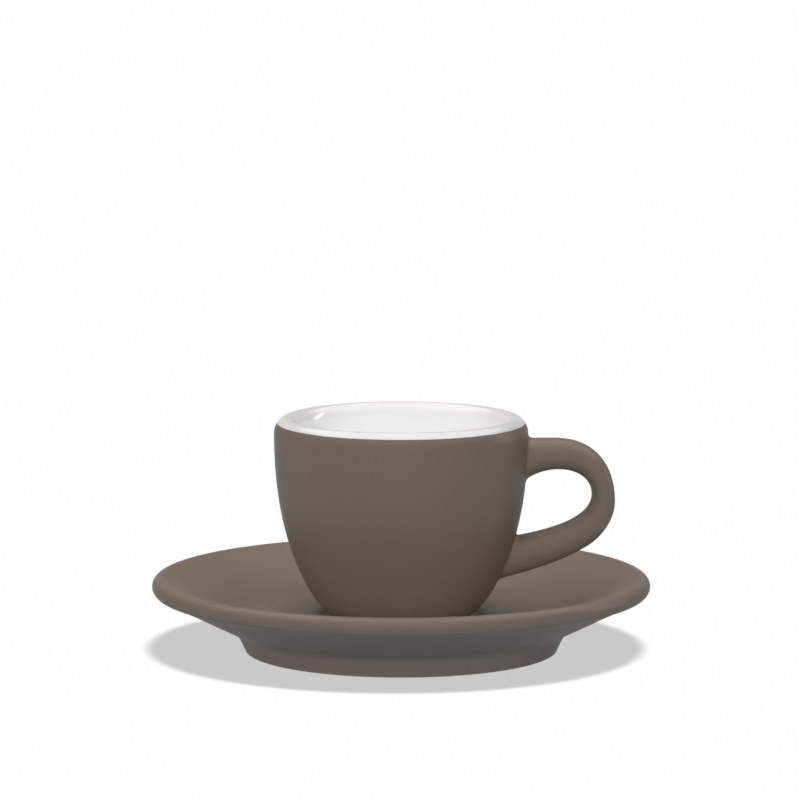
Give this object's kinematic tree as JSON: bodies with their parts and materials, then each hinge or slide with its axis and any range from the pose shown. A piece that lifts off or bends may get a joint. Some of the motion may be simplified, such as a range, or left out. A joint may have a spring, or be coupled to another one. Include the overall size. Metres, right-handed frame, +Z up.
{
  "type": "espresso cup with saucer",
  "caption": "Thick-walled espresso cup with an ear handle, matt brown outside and glossy white inside, standing in the seat of a matt brown saucer.",
  "frame": {"origin": "centre of the saucer's foot, on the table", "axes": "+Z up along the axis of the cup and the saucer, +X towards the cup's handle"},
  "size_m": [0.12, 0.12, 0.0566],
  "materials": {
    "bare_porcelain": "bare fired body, fine matt grain",
    "matt_brown_glaze": "matt brown glaze with a soft sheen",
    "white_gloss_glaze": "glossy white glaze"
  },
  "bodies": {
    "saucer": {"saucer_body": "bare_porcelain", "saucer_glaze": "matt_brown_glaze", "saucer_base_glaze": "matt_brown_glaze"},
    "cup": {"cup_body": "bare_porcelain", "cup_outer_glaze": "matt_brown_glaze", "cup_inner_glaze": "white_gloss_glaze", "cup_base_glaze": "matt_brown_glaze", "handle_core": "bare_porcelain", "handle_glaze": "matt_brown_glaze", "handle_joint_upper": "matt_brown_glaze", "handle_joint_lower": "matt_brown_glaze"}
  },
  "joints": [
    {"name": "cup_lift", "type": "slide", "parent": "saucer", "child": "cup", "axis": [0, 0, 1], "range_m": [0, 0.08]}
  ]
}
